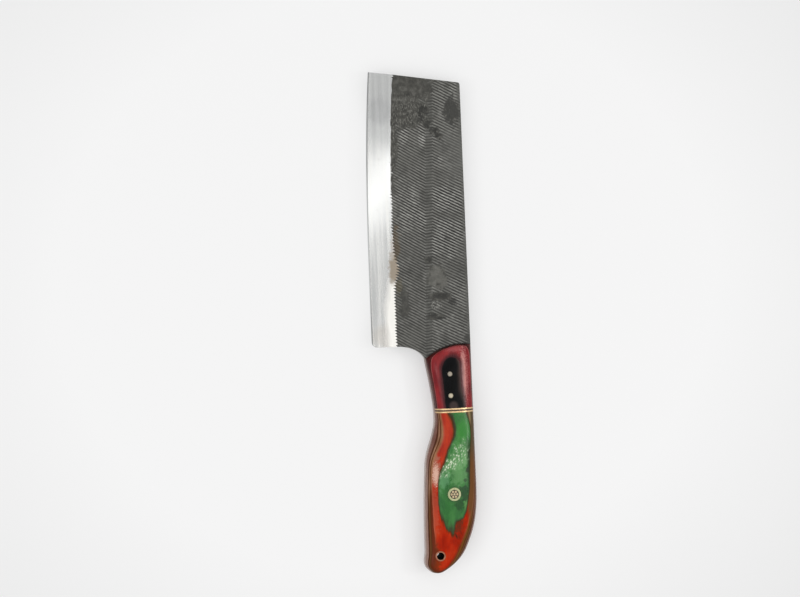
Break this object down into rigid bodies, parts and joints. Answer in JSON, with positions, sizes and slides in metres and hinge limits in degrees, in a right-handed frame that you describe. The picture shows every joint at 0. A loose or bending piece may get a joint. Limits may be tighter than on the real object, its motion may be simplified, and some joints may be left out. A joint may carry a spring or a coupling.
{
  "type": "vegetable cleaver",
  "caption": "Square-tipped vegetable cleaver with a file-toothed forged blade, full tang, dyed laminated wood scales, brass spacers, pins and a lanyard tube.",
  "frame": {"origin": "middle of the underside of the knife's box, lying on its right side", "axes": "+X from the cutting edge to the spine, +Y from the butt to the tip, +Z out of the left face"},
  "size_m": [0.0604, 0.3048, 0.0216],
  "materials": {
    "file_steel": "forged file steel, dark oxide on the toothed flats, satin ground bevels",
    "brass": "satin",
    "copper": "satin copper",
    "resin": "dark brown filling, sanded flush",
    "fibre": "dark vulcanised fibre",
    "maroon_wood": "dyed laminated veneer, oiled satin",
    "red_wood": "dyed laminated veneer, oiled satin",
    "black_wood": "dyed laminated veneer, oiled satin",
    "brown_wood": "dyed laminated veneer, oiled satin",
    "gold_wood": "dyed laminated veneer, oiled satin",
    "orange_wood": "dyed laminated veneer, oiled satin",
    "green_wood": "dyed laminated veneer, oiled satin"
  },
  "bodies": {
    "root": {"blade_with_tang": "file_steel", "left_front_maroon_veneer": "maroon_wood", "left_front_red_veneer": "red_wood", "left_front_black_veneer": "black_wood", "left_front_brass_spacer": "brass", "left_fibre_spacer": "fibre", "left_rear_brass_spacer": "brass", "left_rear_maroon_veneer": "maroon_wood", "left_rear_brown_veneer": "brown_wood", "left_rear_gold_veneer": "gold_wood", "left_rear_orange_veneer": "orange_wood", "left_rear_green_veneer": "green_wood", "right_front_maroon_veneer": "maroon_wood", "right_front_red_veneer": "red_wood", "right_front_black_veneer": "black_wood", "right_front_brass_spacer": "brass", "right_fibre_spacer": "fibre", "right_rear_brass_spacer": "brass", "right_rear_maroon_veneer": "maroon_wood", "right_rear_brown_veneer": "brown_wood", "right_rear_gold_veneer": "gold_wood", "right_rear_orange_veneer": "orange_wood", "right_rear_green_veneer": "green_wood", "front_pin_1": "brass", "front_pin_2": "brass", "lanyard_tube": "brass", "mosaic_pin_tube": "brass", "mosaic_pin_resin": "resin", "mosaic_pin_centre_rod": "brass", "mosaic_pin_rod_1": "copper", "mosaic_pin_rod_2": "copper", "mosaic_pin_rod_3": "copper", "mosaic_pin_rod_4": "copper", "mosaic_pin_rod_5": "copper", "mosaic_pin_rod_6": "copper"}
  },
  "joints": []
}
